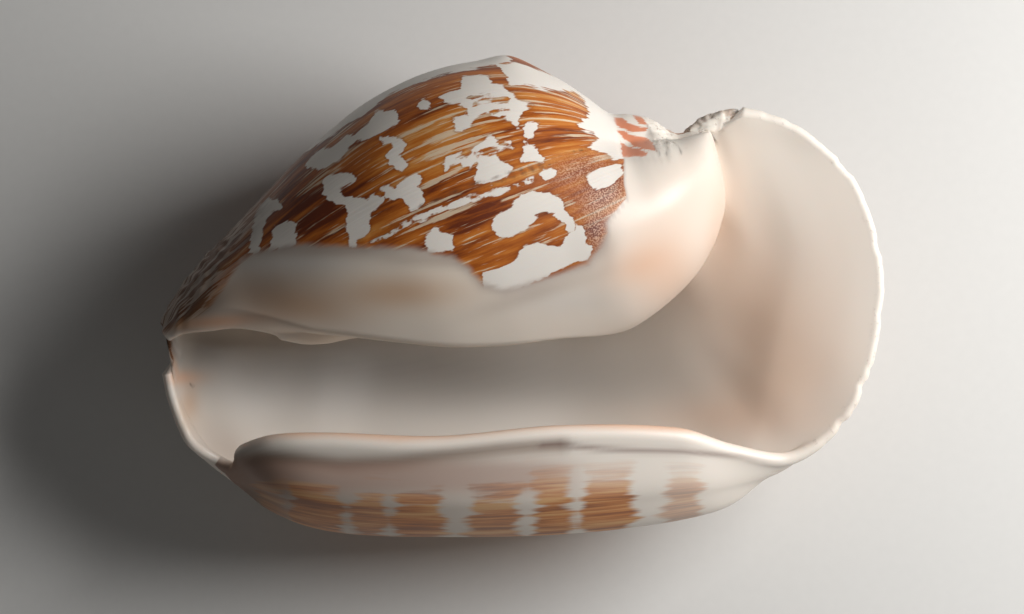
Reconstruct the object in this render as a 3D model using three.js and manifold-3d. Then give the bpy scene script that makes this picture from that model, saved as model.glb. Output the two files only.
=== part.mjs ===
// A wide-mouthed strombid conch, lying on its back with the opening up.
//
// The shell is one thick sheet wound once and a half round a coiling axis. It is drawn by growth
// lines, the old edges of the mouth, which all run from the front end (the canal) to the back end
// (beside the spire). The body's growth lines come from two profiles and a spiral. The flared outer
// lip adds four lines of its own, ending at the rim. A spire and a solid plug behind it close the
// back end.
//
// The drawing frame is in millimetres: x along the shell towards the spire, y across it away from
// the lip, z up out of the mouth. Its origin is the front end of the coiling axis.
import * as THREE from "three";
import { mergeVertices } from "three/addons/utils/BufferGeometryUtils.js";
import Module from "manifold-3d";

// Driving dimensions of the body.
const AXIS_TILT = THREE.MathUtils.degToRad(21.8);
const WHORL_GROWTH = 0.00058; // share of radius gained per degree
const BELLY_FLATNESS = 0.9; // the side of the mouth is flatter than the back
// Rounded knobs of the shoulder: the great one on the back and a small one beside the spire.
const KNOBS = [
  { turn: 70, at: 97, height: 6.5, halfTurn: 30, halfLength: 15 },
  { turn: 0, at: 103.4, height: 2.0, halfTurn: 15, halfLength: 5.5 },
];

// Stations run along a growth line, 0 at the canal and 13 at the back end.
const LAST_STATION = 13;
const AXIS_STATIONS = [
  [0, 1.0], [1, 8], [2, 17], [3, 27], [4, 38], [5, 52], [6, 72],
  [7, 91], [8, 104], [9, 114], [10, 123], [11, 131], [12, 137.3], [13, 141.4],
];

// Radius of the body along its axis: on the outer side, and on the side of the mouth, where a pad
// of enamel buries the spire.
const OUTER_PROFILE = [
  [1.0, 7.0], [4.9, 10.8], [9.9, 14.2], [17, 18.2], [24.8, 21.6], [34.8, 26.4], [45.7, 31.4],
  [56.1, 35.2], [66.2, 38.2], [78.2, 39.6], [87.4, 39.2], [95, 37.6], [101.6, 34.9],
  [107, 31.2], [112.5, 25.9], [116.8, 19.9], [120.4, 14.3], [124.5, 12.2],
  [128.5, 9.8], [130.5, 7.6], [132.2, 4.9], [134, 3.2], [137, 2.8], [141.4, 2.2],
];
const PAD_PROFILE = [
  [1.0, 7.0], [4.9, 10.8], [9.9, 14.2], [17, 18.2], [24.8, 21.6], [34.8, 26.4], [45.7, 31.4],
  [56.1, 35.4], [66.2, 38.4], [78.2, 40.2], [87.4, 40.6], [98, 40.4], [108.7, 39.7],
  [120.5, 35.8], [128.7, 30.7], [135.8, 22.7], [139.6, 14.5], [141.4, 2.2],
];
// Turns between which the pad rises from the body wall.
const PAD_RISE = { from: -62, to: -115 };

// The body wall curls in under the mouth's inner edge: position along the axis, turn of the edge
// in degrees, share of the radius lost there, and length of the curl past it in degrees.
const INNER_EDGE = [
  [1.0, -50, 0.05, 6], [10, -71, 0.1, 8], [18.6, -84, 0.16, 8], [25, -97, 0.27, 11],
  [30.4, -107.5, 0.38, 20], [35, -115, 0.46, 36], [41, -121, 0.5, 58], [60, -137, 0.46, 78],
  [75, -147, 0.46, 80], [90, -158, 0.46, 78], [100, -172, 0.4, 64], [108, -188, 0.28, 42],
  [114, -199, 0.14, 24], [118, -203, 0.05, 14], [124, -197, 0, 10], [131, -190, 0, 10],
  [137, -190, 0, 10], [141.4, -185, 0, 10],
];
const CURL_WIDTH = 22; // degrees over which the radius falls at the edge

// The outer lip's growth lines: station, x, y, z.
const LOW_BACK = [
  [0, 0.7, -3.4, -5.3], [1, 4.4, -6.3, -9.7], [2, 11.4, -12.1, -15.0], [3, 19.8, -16.5, -19.4],
  [4, 31.9, -19.4, -24.2], [5, 48.9, -20.3, -31.0], [6, 71.1, -18.9, -34.4],
  [7, 94.9, -14.5, -33.4], [8, 114.2, -8.0, -27.1], [9, 128.3, 1.7, -19.4],
  [10, 137.2, 13.8, -12.6], [11, 140.8, 27.6, -7.7], [12, 137.8, 41.2, -4.4], [13, 133.2, 51.9, -2.4],
];
const KEEL = [
  [0, 0.0, -7.7, 0.0], [1, 2.9, -16.0, -2.9], [2, 9.2, -24.9, -6.8], [3, 17.4, -31.7, -9.2],
  [4, 27.6, -39.0, -6.3], [5, 42.8, -43.1, -3.4], [6, 68.2, -43.8, -2.9], [7, 97.3, -42.8, -2.9],
  [8, 126.3, -38.8, -4.0], [8.5, 138.8, -33.8, -4.6], [9, 144.6, -20.5, -7.2],
  [9.5, 147.6, -7.6, -7.2], [10, 150.2, 5.2, -6.4], [11, 153.6, 25.2, -3.9], [12, 145.6, 45.0, -2.3],
  [13, 134.6, 54.6, -1.4],
];
const ROLL = [
  [0, -0.7, -7.3, 3.4], [1, 1.5, -14.8, 1.9], [2, 6.5, -24.0, -1.2], [3, 13.1, -29.2, -4.2],
  [3.5, 18.4, -32.6, -1.2], [4, 22.0, -33.2, 7.0], [4.5, 28.9, -35.1, 12.6],
  [5.2, 44.0, -37.0, 15.0], [6, 68.2, -37.8, 15.5], [7, 96.1, -36.6, 13.8], [8, 125.8, -34.2, 8.2],
  [8.4, 137.6, -32.4, 3.4], [8.8, 148.6, -28.6, -1.4], [9.3, 154.5, -18.6, -3.0],
  [10, 161.0, -1.6, -2.4], [11, 164.0, 23.6, -1.7], [12, 152.0, 48.0, -0.9], [13, 136.8, 56.8, -0.4],
];
const RIM = [
  [0, -1.2, -5.3, 5.8], [1, 0.5, -12.8, 4.8], [2, 4.6, -22.3, 1.9], [3, 11.1, -27.3, -1.9],
  [3.4, 15.0, -29.2, 0.2], [3.8, 16.4, -28.2, 6.2], [4.2, 18.2, -25.6, 12.6],
  [4.6, 25.6, -23.3, 18.4], [5.2, 39.2, -22.8, 21.3], [6, 65.8, -23.6, 22.7], [7, 94.9, -20.9, 21.4],
  [8, 123.9, -21.4, 15.6], [8.4, 136.6, -25.2, 8.6], [8.8, 149.4, -27.6, 2.2],
  [9.2, 158.7, -21.9, 0.0], [9.8, 167.2, -10.2, 0.2], [10.4, 171.2, 4.0, -0.2],
  [11, 171.9, 22.3, -0.2], [11.6, 165.2, 41.7, 0.2], [12.2, 153.0, 53.2, 0.4], [12.6, 145.0, 56.8, 0.4],
  [13, 138.8, 58.2, 0.4],
];

// Wall thickness by station: in the body, and at the rim of the lip.
const BODY_WALL = [[0, 2.4], [2, 3.2], [4, 4.2], [8, 4.6], [10, 4.0], [11, 3.4], [12, 3.0], [13, 2.6]];
const RIM_WALL = [
  [0, 2.4], [2, 2.6], [3.4, 3.0], [4.2, 4.8], [6, 5.2], [8, 4.6], [8.6, 3.8], [9.2, 2.8], [11, 2.4],
  [12.4, 2.8], [13, 3.6],
];

// Mesh density.
const BODY_ROWS = 21;
const CURL_SHARE = 1 / 3; // of the body rows lie in the curled edge
const LIP_ROWS = 17;
const STATION_STEPS = 46;

// Rises smoothly from 0 at a to 1 at b, whichever of the two is larger.
const smoothstep = (x, a, b) => THREE.MathUtils.smoothstep((x - a) / (b - a), 0, 1);
const mix = THREE.MathUtils.lerp;

// Value at x of the smooth curve through points [x, value...], with one channel per value.
function through(points, x, channel = 1) {
  let i = 0;
  while (i < points.length - 2 && x > points[i + 1][0]) i += 1;
  const slope = (k) => {
    const before = points[Math.max(k - 1, 0)];
    const after = points[Math.min(k + 1, points.length - 1)];
    return (after[channel] - before[channel]) / (after[0] - before[0]);
  };
  const width = points[i + 1][0] - points[i][0];
  const t = (x - points[i][0]) / width;
  const t2 = t * t;
  const t3 = t2 * t;
  return (
    (2 * t3 - 3 * t2 + 1) * points[i][channel] +
    (t3 - 2 * t2 + t) * width * slope(i) +
    (3 * t2 - 2 * t3) * points[i + 1][channel] +
    (t3 - t2) * width * slope(i + 1)
  );
}

const pointOn = (line, s) =>
  new THREE.Vector3(through(line, s, 1), through(line, s, 2), through(line, s, 3));

// The body wall's outer face at a turn, in degrees of growth, and a station. Turn 0 is the side
// away from the lip, and turn 90 is underneath.
function bodyPoint(turn, s) {
  const at = through(AXIS_STATIONS, s);
  const pad = smoothstep(turn, PAD_RISE.from, PAD_RISE.to);
  let radius = mix(through(OUTER_PROFILE, at), through(PAD_PROFILE, at), pad);
  radius *= Math.exp(WHORL_GROWTH * turn);
  const past = through(INNER_EDGE, at) - turn;
  radius *= 1 - through(INNER_EDGE, at, 2) * smoothstep(past, -0.35 * CURL_WIDTH, 0.65 * CURL_WIDTH);
  KNOBS.forEach((knob) => {
    const aside = (turn - knob.turn) / knob.halfTurn;
    const along = (at - knob.at) / knob.halfLength;
    radius += knob.height * Math.exp(-aside * aside - along * along);
  });
  const angle = THREE.MathUtils.degToRad(turn);
  const across = radius * Math.cos(angle);
  const up = -radius * Math.sin(angle) * (turn < 0 && turn > -180 ? BELLY_FLATNESS : 1);
  return new THREE.Vector3(
    at * Math.cos(AXIS_TILT) - across * Math.sin(AXIS_TILT),
    at * Math.sin(AXIS_TILT) + across * Math.cos(AXIS_TILT),
    up,
  );
}

// Turn of a row of the body: row 0 is the curled inner end and row 1 is turn 45.
function turnOfRow(row, s) {
  const at = through(AXIS_STATIONS, s);
  const edge = through(INNER_EDGE, at) + 0.35 * CURL_WIDTH;
  const start = edge - 0.35 * CURL_WIDTH - through(INNER_EDGE, at, 3);
  if (row < CURL_SHARE) return mix(start, edge, row / CURL_SHARE);
  return mix(edge, 45, (row - CURL_SHARE) / (1 - CURL_SHARE));
}

// Where a row of the sheet lies: rows 0 to 1 cross the body, and rows 1 to 6 cross the lip, through
// turn 90, the lip's back, keel and roll to its rim. Between rows 1 and 2 the body's own curve
// passes over into the lip's.
const LAST_ROW = 6;
const TANGENT_LIMIT = 1.5; // chords that a tangent of the lip's curve may be long
function sheetPoint(row, s) {
  if (row <= 1) return bodyPoint(turnOfRow(row, s), s);
  const lines = [
    bodyPoint(0, s), bodyPoint(45, s), bodyPoint(90, s),
    pointOn(LOW_BACK, s), pointOn(KEEL, s), pointOn(ROLL, s), pointOn(RIM, s),
  ];
  const i = Math.min(Math.floor(row), LAST_ROW - 1);
  const a = lines[i - 1];
  const b = lines[i];
  const c = lines[i + 1];
  const d = lines[i + 2] ?? c.clone().multiplyScalar(2).sub(b);
  const t = row - i;
  const longest = TANGENT_LIMIT * b.distanceTo(c);
  const leaving = c.clone().sub(a).divideScalar(2).clampLength(0, longest);
  const arriving = d.clone().sub(b).divideScalar(2).clampLength(0, longest);
  const point = new THREE.Vector3()
    .addScaledVector(b, 2 * t ** 3 - 3 * t ** 2 + 1)
    .addScaledVector(leaving, t ** 3 - 2 * t ** 2 + t)
    .addScaledVector(c, 3 * t ** 2 - 2 * t ** 3)
    .addScaledVector(arriving, t ** 3 - t ** 2);
  return row < 2 ? bodyPoint(45 * row, s).lerp(point, smoothstep(row, 1, 2)) : point;
}

// Outward normal of the sheet, and the direction in which it grows.
function sheetFrame(row, s) {
  const step = 0.02;
  const alongGrowth = sheetPoint(Math.min(row + step, LAST_ROW), s)
    .sub(sheetPoint(Math.max(row - step, 0), s)).normalize();
  const alongLine = sheetPoint(row, Math.min(s + step, LAST_STATION))
    .sub(sheetPoint(row, Math.max(s - step, 0))).normalize();
  const normal = alongLine.clone().cross(alongGrowth).normalize();
  return { normal, growth: normal.clone().cross(alongLine) };
}

// Wall thickness, which never takes more than its share of a narrow whorl's radius.
const WALL_SHARE = 0.4;
function wallAt(row, s) {
  const lip = mix(through(BODY_WALL, s), through(RIM_WALL, s), smoothstep(row, 1.5, LAST_ROW));
  const narrow = WALL_SHARE * through(OUTER_PROFILE, through(AXIS_STATIONS, s));
  return mix(Math.min(lip, narrow), lip, smoothstep(row, 1, 3));
}

// A closed solid from loops of equal length, ended by ladders between each loop's two sides.
function loopsToGeometry(loops) {
  const n = loops[0].length;
  const index = [];
  for (let j = 0; j < loops.length - 1; j += 1) {
    for (let i = 0; i < n; i += 1) {
      const a = j * n + i;
      const b = j * n + ((i + 1) % n);
      index.push(a, a + n, b, b, a + n, b + n);
    }
  }
  const ladder = (first, flip) => {
    for (let i = 0, k = n - 1; i + 1 < k; i += 1, k -= 1) {
      const faces = [[i, i + 1, k]];
      if (i + 1 < k - 1) faces.push([i + 1, k - 1, k]);
      faces.forEach(([a, b, c]) =>
        index.push(...(flip ? [first + a, first + c, first + b] : [first + a, first + b, first + c])));
    }
  };
  ladder(0, false);
  ladder((loops.length - 1) * n, true);
  const geometry = new THREE.BufferGeometry().setFromPoints(loops.flat());
  geometry.setIndex(index);
  return geometry;
}

// The half-round edge that closes one end of a wall of the given thickness.
const EDGE_ARC = 3;
function roundedEdge(point, normal, away, wall) {
  return Array.from({ length: EDGE_ARC }, (_, k) => {
    const angle = (Math.PI * (k + 1)) / (EDGE_ARC + 1);
    return point.clone()
      .addScaledVector(normal, (wall / 2) * (Math.cos(angle) - 1))
      .addScaledVector(away, (wall / 2) * Math.sin(angle));
  });
}

const spread = (from, to, steps) => Array.from({ length: steps + 1 }, (_, i) => mix(from, to, i / steps));

// The sheet as loops, one a station: out along the outer face, round the rim, back along the inner
// face and round the curled inner edge.
function makeSheet() {
  const rows = [...spread(0, 1, BODY_ROWS), ...spread(1, LAST_ROW, LIP_ROWS).slice(1)];
  const loops = spread(0, LAST_STATION, STATION_STEPS).map((s) => {
    const points = rows.map((row) => sheetPoint(row, s));
    const frames = rows.map((row) => sheetFrame(row, s));
    const walls = rows.map((row) => wallAt(row, s));
    const inner = points.map((point, i) => point.clone().addScaledVector(frames[i].normal, -walls[i]));
    const last = rows.length - 1;
    const rim = roundedEdge(points[last], frames[last].normal, frames[last].growth, walls[last]);
    const curl = roundedEdge(points[0], frames[0].normal, frames[0].growth.clone().negate(), walls[0]);
    return [...points, ...rim, ...inner.reverse(), ...curl.reverse()];
  });
  return loopsToGeometry(loops);
}

// The solid pillar behind the spire, which fills the narrow back end.
function makePillar() {
  const profile = [
    [90, 0], [96, 6], [104, 10], [114, 12], [121, 11.6], [128, 9.6], [130.6, 7], [133.2, 1.8],
    [139, 1.4], [140.4, 0],
  ];
  const lathe = new THREE.LatheGeometry(profile.map(([at, r]) => new THREE.Vector2(r, at)), 20);
  lathe.rotateZ(AXIS_TILT - Math.PI / 2);
  return lathe;
}

// The knot of enamel where the lip's corner meets the spire.
const KNOT = { centre: [131.9, 55.0, -0.6], radii: [7.6, 2.7, 2.6], tilt: 23 };
function makeKnot() {
  const knot = new THREE.SphereGeometry(1, 14, 9);
  knot.scale(...KNOT.radii);
  knot.rotateZ(THREE.MathUtils.degToRad(KNOT.tilt));
  knot.translate(...KNOT.centre);
  return knot;
}

// Exact union of closed bodies.
const wasm = await Module();
wasm.setup();
function toManifold(geometry) {
  const plain = geometry.clone();
  plain.deleteAttribute("normal");
  plain.deleteAttribute("uv");
  const merged = mergeVertices(plain, 1e-5);
  return new wasm.Manifold(new wasm.Mesh({
    numProp: 3,
    vertProperties: Float32Array.from(merged.getAttribute("position").array),
    triVerts: Uint32Array.from(merged.index.array),
  }));
}
function toGeometry(solid) {
  const mesh = solid.getMesh();
  const geometry = new THREE.BufferGeometry();
  geometry.setAttribute("position", new THREE.BufferAttribute(mesh.vertProperties, 3));
  geometry.setIndex(new THREE.BufferAttribute(mesh.triVerts, 1));
  return mergeVertices(geometry, 1e-4);
}

// The shell lies on its back, rolled towards its lip until its weight is over the lowest part of the
// back, where the enamel is worn flat.
const LYING_ROLL = THREE.MathUtils.degToRad(9);
const WORN_DEPTH = 0.6;
const solid = toManifold(makeSheet()).add(toManifold(makePillar())).add(toManifold(makeKnot()));
const lying = toGeometry(solid).rotateX(LYING_ROLL);
lying.computeBoundingBox();
const floor = new THREE.BoxGeometry(200, 200, 20);
const lowest = lying.boundingBox.min.z + WORN_DEPTH;
floor.translate(lying.boundingBox.getCenter(new THREE.Vector3()).x, 0, lowest - 10);
const shell = toGeometry(toManifold(lying).subtract(toManifold(floor)));
shell.computeBoundingBox();
const middle = shell.boundingBox.getCenter(new THREE.Vector3());
shell.translate(-middle.x, -middle.y, -lowest);

const material = new THREE.MeshStandardMaterial({ color: 0xe9dccb, roughness: 0.35, metalness: 0 });
const mesh = new THREE.Mesh(shell, material);
mesh.name = "shell";
const group = new THREE.Group();
group.add(mesh);

export default group;
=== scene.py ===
"""A wide-mouthed strombid conch shell lying on its back on a pale table, with the mouth up.

The shell is one thick sheet wound round a coiling axis and drawn by its growth lines, the old edges
of the mouth. The drawing frame is in millimetres: x along the shell towards the spire, y across it
away from the lip, z up out of the mouth. It is turned and moved to the CAD part's frame at the end.
"""
import math

import bpy
import numpy as np
from mathutils import Matrix, Vector, kdtree


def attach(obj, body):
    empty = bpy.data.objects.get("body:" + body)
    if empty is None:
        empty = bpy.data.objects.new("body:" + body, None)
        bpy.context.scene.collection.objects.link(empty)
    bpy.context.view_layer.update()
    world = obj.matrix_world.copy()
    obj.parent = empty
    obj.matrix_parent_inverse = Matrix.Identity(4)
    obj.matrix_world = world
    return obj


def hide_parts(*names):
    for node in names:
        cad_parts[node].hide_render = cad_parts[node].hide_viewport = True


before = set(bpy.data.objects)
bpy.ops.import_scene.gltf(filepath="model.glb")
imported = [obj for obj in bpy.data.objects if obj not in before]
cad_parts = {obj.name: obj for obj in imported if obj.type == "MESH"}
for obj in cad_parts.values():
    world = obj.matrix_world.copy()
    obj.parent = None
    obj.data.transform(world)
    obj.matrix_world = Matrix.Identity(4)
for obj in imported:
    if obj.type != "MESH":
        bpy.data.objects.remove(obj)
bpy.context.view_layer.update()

# Driving dimensions of the body, the same as in the CAD part.
AXIS_TILT = math.radians(21.8)
WHORL_GROWTH = 0.00058
BELLY_FLATNESS = 0.9
# Rounded knobs of the shoulder: turn, position along the axis, height, half turn, half length.
KNOBS = [(70, 97, 6.5, 30, 15), (0, 103.4, 2.0, 15, 5.5)]

# Stations run along a growth line, 0 at the canal and 13 at the back end.
LAST_STATION = 13
LAST_ROW = 6
AXIS_STATIONS = [
    (0, 1.0), (1, 8), (2, 17), (3, 27), (4, 38), (5, 52), (6, 72),
    (7, 91), (8, 104), (9, 114), (10, 123), (11, 131), (12, 137.3), (13, 141.4),
]
# Position along the axis and radius of the body.
OUTER_PROFILE = [
    (1.0, 7.0), (4.9, 10.8), (9.9, 14.2), (17, 18.2), (24.8, 21.6), (34.8, 26.4), (45.7, 31.4),
    (56.1, 35.2), (66.2, 38.2), (78.2, 39.6), (87.4, 39.2), (95, 37.6), (101.6, 34.9),
    (107, 31.2), (112.5, 25.9), (116.8, 19.9), (120.4, 14.3), (124.5, 12.2),
    (128.5, 9.8), (130.5, 7.6), (132.2, 4.9), (134, 3.2), (137, 2.8), (141.4, 2.2),
]
# The glossy pad beside the mouth, the same as far as its seventh point, and the turns over which it rises.
PAD_PROFILE = OUTER_PROFILE[:7] + [
    (56.1, 35.4), (66.2, 38.4), (78.2, 40.2), (87.4, 40.6), (98, 40.4), (108.7, 39.7),
    (120.5, 35.8), (128.7, 30.7), (135.8, 22.7), (139.6, 14.5), (141.4, 2.2),
]
PAD_RISE = (-62, -115)
# Position along the axis, turn of the mouth's inner edge, share of the radius lost there, and the
# length of the curl past it in degrees.
INNER_EDGE = [
    (1.0, -50, 0.05, 6), (10, -71, 0.1, 8), (18.6, -84, 0.16, 8), (25, -97, 0.27, 11),
    (30.4, -107.5, 0.38, 20), (35, -115, 0.46, 36), (41, -121, 0.5, 58), (60, -137, 0.46, 78),
    (75, -147, 0.46, 80), (90, -158, 0.46, 78), (100, -172, 0.4, 64), (108, -188, 0.28, 42),
    (114, -199, 0.14, 24), (118, -203, 0.05, 14), (124, -197, 0, 10), (131, -190, 0, 10),
    (137, -190, 0, 10), (141.4, -185, 0, 10),
]
# The curl of the inner edge begins a little before it: whole width and first part, in degrees.
CURL_WIDTH = 22
CURL_LEAD = 0.35 * CURL_WIDTH
# Degrees of growth from one row to the next, from turn 0 at the front to turn 90.
TURN_PER_ROW = 45

# The outer lip's growth lines: station, x, y, z.
LOW_BACK = [
    (0, 0.7, -3.4, -5.3), (1, 4.4, -6.3, -9.7), (2, 11.4, -12.1, -15.0), (3, 19.8, -16.5, -19.4),
    (4, 31.9, -19.4, -24.2), (5, 48.9, -20.3, -31.0), (6, 71.1, -18.9, -34.4),
    (7, 94.9, -14.5, -33.4), (8, 114.2, -8.0, -27.1), (9, 128.3, 1.7, -19.4),
    (10, 137.2, 13.8, -12.6), (11, 140.8, 27.6, -7.7), (12, 137.8, 41.2, -4.4), (13, 133.2, 51.9, -2.4),
]
KEEL = [
    (0, 0.0, -7.7, 0.0), (1, 2.9, -16.0, -2.9), (2, 9.2, -24.9, -6.8), (3, 17.4, -31.7, -9.2),
    (4, 27.6, -39.0, -6.3), (5, 42.8, -43.1, -3.4), (6, 68.2, -43.8, -2.9), (7, 97.3, -42.8, -2.9),
    (8, 126.3, -38.8, -4.0), (8.5, 138.8, -33.8, -4.6), (9, 144.6, -20.5, -7.2),
    (9.5, 147.6, -7.6, -7.2), (10, 150.2, 5.2, -6.4), (11, 153.6, 25.2, -3.9), (12, 145.6, 45.0, -2.3),
    (13, 134.6, 54.6, -1.4),
]
ROLL = [
    (0, -0.7, -7.3, 3.4), (1, 1.5, -14.8, 1.9), (2, 6.5, -24.0, -1.2), (3, 13.1, -29.2, -4.2),
    (3.5, 18.4, -32.6, -1.2), (4, 22.0, -33.2, 7.0), (4.5, 28.9, -35.1, 12.6),
    (5.2, 44.0, -37.0, 15.0), (6, 68.2, -37.8, 15.5), (7, 96.1, -36.6, 13.8), (8, 125.8, -34.2, 8.2),
    (8.4, 137.6, -32.4, 3.4), (8.8, 148.6, -28.6, -1.4), (9.3, 154.5, -18.6, -3.0),
    (10, 161.0, -1.6, -2.4), (11, 164.0, 23.6, -1.7), (12, 152.0, 48.0, -0.9), (13, 136.8, 56.8, -0.4),
]
RIM = [
    (0, -1.2, -5.3, 5.8), (1, 0.5, -12.8, 4.8), (2, 4.6, -22.3, 1.9), (3, 11.1, -27.3, -1.9),
    (3.4, 15.0, -29.2, 0.2), (3.8, 16.4, -28.2, 6.2), (4.2, 18.2, -25.6, 12.6),
    (4.6, 25.6, -23.3, 18.4), (5.2, 39.2, -22.8, 21.3), (6, 65.8, -23.6, 22.7), (7, 94.9, -20.9, 21.4),
    (8, 123.9, -21.4, 15.6), (8.4, 136.6, -25.2, 8.6), (8.8, 149.4, -27.6, 2.2),
    (9.2, 158.7, -21.9, 0.0), (9.8, 167.2, -10.2, 0.2), (10.4, 171.2, 4.0, -0.2),
    (11, 171.9, 22.3, -0.2), (11.6, 165.2, 41.7, 0.2), (12.2, 153.0, 53.2, 0.4), (12.6, 145.0, 56.8, 0.4),
    (13, 138.8, 58.2, 0.4),
]
BODY_WALL = [(0, 2.4), (2, 3.2), (4, 4.2), (8, 4.6), (10, 4.0), (11, 3.4), (12, 3.0), (13, 2.6)]
RIM_WALL = [
    (0, 2.4), (2, 2.6), (3.4, 3.0), (4.2, 4.8), (6, 5.2), (8, 4.6), (8.6, 3.8), (9.2, 2.8), (11, 2.4),
    (12.4, 2.8), (13, 3.6),
]
# Near the canal and the back end the wall is at most this share of the body's radius.
WALL_SHARE = 0.4

# How the shell lies: rolled about x, then moved so that its box is centred and it stands on z = 0.
LYING_ROLL = math.radians(9)
PACKED_SHIFT = np.array([-85.774, -13.113, 39.571])
MM = 0.001

# Share of the body's rows that cross the curl of the inner edge.
CURL_SHARE = 1 / 3
# No tangent of the lip's curve is longer than this many of its chords.
TANGENT_LIMIT = 1.5

# Mesh density: rows across the curled edge, the body and the lip, on either face of the sheet.
OUTER_ROWS = (30, 96, 84)
INNER_ROWS = (22, 22, 92)
EDGE_ARC = 8
STATION_STEPS = 262


def smoothstep(x, a, b):
    """Rises smoothly from 0 at a to 1 at b, whichever of the two is larger."""
    t = np.clip((x - a) / (b - a), 0, 1)
    return t * t * (3 - 2 * t)


def mix(a, b, share):
    return a + (b - a) * share


def cubic(t, start, end, first_slope, last_slope):
    """Runs from start to end with the given slopes, as t goes from 0 to 1."""
    return (
        (2 * t**3 - 3 * t**2 + 1) * start
        + (t**3 - 2 * t**2 + t) * first_slope
        + (3 * t**2 - 2 * t**3) * end
        + (t**3 - t**2) * last_slope
    )


def through(points, x, channel=1):
    """Value at x of the smooth curve through points (x, value, ...)."""
    table = np.array(points, float)
    knots = table[:, 0]
    values = table[:, channel]
    slopes = np.empty(len(knots))
    slopes[1:-1] = (values[2:] - values[:-2]) / (knots[2:] - knots[:-2])
    slopes[0] = (values[1] - values[0]) / (knots[1] - knots[0])
    slopes[-1] = (values[-1] - values[-2]) / (knots[-1] - knots[-2])
    i = np.clip(np.searchsorted(knots, x) - 1, 0, len(knots) - 2)
    width = knots[i + 1] - knots[i]
    t = (x - knots[i]) / width
    return cubic(t, values[i], values[i + 1], width * slopes[i], width * slopes[i + 1])


def line_point(line, s):
    return np.stack([through(line, s, k) for k in (1, 2, 3)], -1)


def body_point(turn, s):
    """The body wall's outer face at a turn, in degrees of growth, and a station."""
    at = through(AXIS_STATIONS, s)
    pad = smoothstep(turn, *PAD_RISE)
    radius = mix(through(OUTER_PROFILE, at), through(PAD_PROFILE, at), pad)
    radius = radius * np.exp(WHORL_GROWTH * turn)
    past = through(INNER_EDGE, at) - turn
    radius *= 1 - through(INNER_EDGE, at, 2) * smoothstep(past, -CURL_LEAD, CURL_WIDTH - CURL_LEAD)
    for knob_turn, knob_at, height, half_turn, half_length in KNOBS:
        aside = (turn - knob_turn) / half_turn
        along = (at - knob_at) / half_length
        radius += height * np.exp(-aside * aside - along * along)
    angle = np.radians(turn)
    across = radius * np.cos(angle)
    flatness = np.where((turn < 0) & (turn > -180), BELLY_FLATNESS, 1)
    up = -radius * np.sin(angle) * flatness
    return np.stack(
        [
            at * math.cos(AXIS_TILT) - across * math.sin(AXIS_TILT),
            at * math.sin(AXIS_TILT) + across * math.cos(AXIS_TILT),
            up,
        ],
        -1,
    )


def turn_of_row(row, s):
    """Turn of a row of the body: row 0 is the curled inner end and row 1 is turn 45."""
    at = through(AXIS_STATIONS, s)
    edge = through(INNER_EDGE, at)
    start = edge - through(INNER_EDGE, at, 3)
    edge = edge + CURL_LEAD
    curled = mix(start, edge, row / CURL_SHARE)
    beyond = mix(edge, TURN_PER_ROW, (row - CURL_SHARE) / (1 - CURL_SHARE))
    return np.where(row < CURL_SHARE, curled, beyond)


def held(tangent, chord):
    """The tangent, no longer than its limit."""
    length = np.linalg.norm(tangent, axis=-1, keepdims=True)
    limit = TANGENT_LIMIT * np.linalg.norm(chord, axis=-1, keepdims=True)
    return tangent * np.minimum(1, limit / np.maximum(length, 1e-9))


def sheet_point(row, s):
    """Outer face of the sheet: rows 0 to 1 cross the body, and rows 1 to 6 the lip, to its rim."""
    row, s = np.broadcast_arrays(np.asarray(row, float), np.asarray(s, float))
    body = body_point(turn_of_row(np.minimum(row, 1), s), s)
    lines = [body_point(np.full_like(s, turn), s) for turn in (0, TURN_PER_ROW, 2 * TURN_PER_ROW)]
    lines += [line_point(line, s) for line in (LOW_BACK, KEEL, ROLL, RIM)]
    lines.append(2 * lines[-1] - lines[-2])
    lines = np.stack(lines)
    i = np.clip(np.floor(row).astype(int), 1, LAST_ROW - 1)
    a, b, c, d = (np.take_along_axis(lines, (i + k)[None, ..., None], 0)[0] for k in (-1, 0, 1, 2))
    t = (row - i)[..., None]
    curve = cubic(t, b, c, held((c - a) / 2, c - b), held((d - b) / 2, c - b))
    passing = body_point(TURN_PER_ROW * row, s)
    lip = mix(passing, curve, smoothstep(row, 1, 2)[..., None])
    return np.where((row <= 1)[..., None], body, lip)


def unit(vectors):
    return vectors / np.maximum(np.linalg.norm(vectors, axis=-1, keepdims=True), 1e-12)


def sheet_frame(row, s):
    """Outward normal of the sheet, and the direction in which it grows."""
    step = 0.02
    growth = unit(
        sheet_point(np.minimum(row + step, LAST_ROW), s) - sheet_point(np.maximum(row - step, 0), s)
    )
    along = unit(
        sheet_point(row, np.minimum(s + step, LAST_STATION)) - sheet_point(row, np.maximum(s - step, 0))
    )
    normal = unit(np.cross(along, growth))
    return normal, np.cross(normal, along)


def wall_at(row, s):
    """Thickness of the wall."""
    lip = mix(through(BODY_WALL, s), through(RIM_WALL, s), smoothstep(row, 1.5, LAST_ROW))
    narrow = WALL_SHARE * through(OUTER_PROFILE, through(AXIS_STATIONS, s))
    return mix(np.minimum(lip, narrow), lip, smoothstep(row, 1, 3))


def make_rows(counts):
    curl, body, lip = counts
    return np.concatenate(
        [
            np.linspace(0, CURL_SHARE, curl, endpoint=False),
            np.linspace(CURL_SHARE, 1, body, endpoint=False),
            np.linspace(1, LAST_ROW, lip),
        ]
    )


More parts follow.
